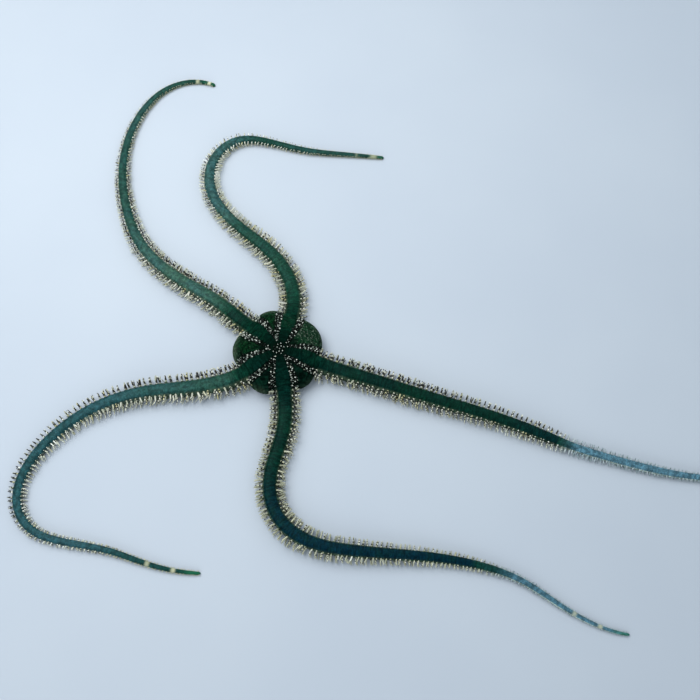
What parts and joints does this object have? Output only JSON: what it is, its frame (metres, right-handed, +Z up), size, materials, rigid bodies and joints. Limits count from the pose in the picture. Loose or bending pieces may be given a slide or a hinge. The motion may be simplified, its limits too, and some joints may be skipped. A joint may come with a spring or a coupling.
{
  "type": "brittle star",
  "caption": "Life-size green brittle star lying flat, a puffy lobed disc with long curling arms that taper to fine tips and are fringed with short banded spines.",
  "frame": {"origin": "on the floor, under the middle of the whole spread of the arms", "axes": "+X along the longest spread, towards the tip of the straightest arm (arm_c); +Y towards the two upper arms (arm_a and arm_b); +Z up"},
  "size_m": [0.3219, 0.2618, 0.0106],
  "materials": {
    "disc_skin": "moist, finely granular dark green skin",
    "arm_skin": "smooth moist teal-green arm plates with a soft sheen",
    "jaw": "pale chalky jaw plates",
    "spines": "pale, slightly glassy spines with dark bands"
  },
  "bodies": {
    "root": {"disc": "disc_skin", "jaw_1": "jaw", "jaw_2": "jaw", "jaw_3": "jaw", "jaw_4": "jaw", "jaw_5": "jaw", "arm_a_1": "arm_skin", "arm_a_2": "arm_skin", "arm_a_3": "arm_skin", "arm_a_4": "arm_skin", "arm_a_5": "arm_skin", "arm_b_1": "arm_skin", "arm_b_2": "arm_skin", "arm_b_3": "arm_skin", "arm_b_4": "arm_skin", "arm_b_5": "arm_skin", "arm_c_1": "arm_skin", "arm_c_2": "arm_skin", "arm_c_3": "arm_skin", "arm_c_4": "arm_skin", "arm_c_5": "arm_skin", "arm_d_1": "arm_skin", "arm_d_2": "arm_skin", "arm_d_3": "arm_skin", "arm_d_4": "arm_skin", "arm_d_5": "arm_skin", "arm_e_1": "arm_skin", "arm_e_2": "arm_skin", "arm_e_3": "arm_skin", "arm_e_4": "arm_skin", "arm_e_5": "arm_skin"}
  },
  "joints": []
}
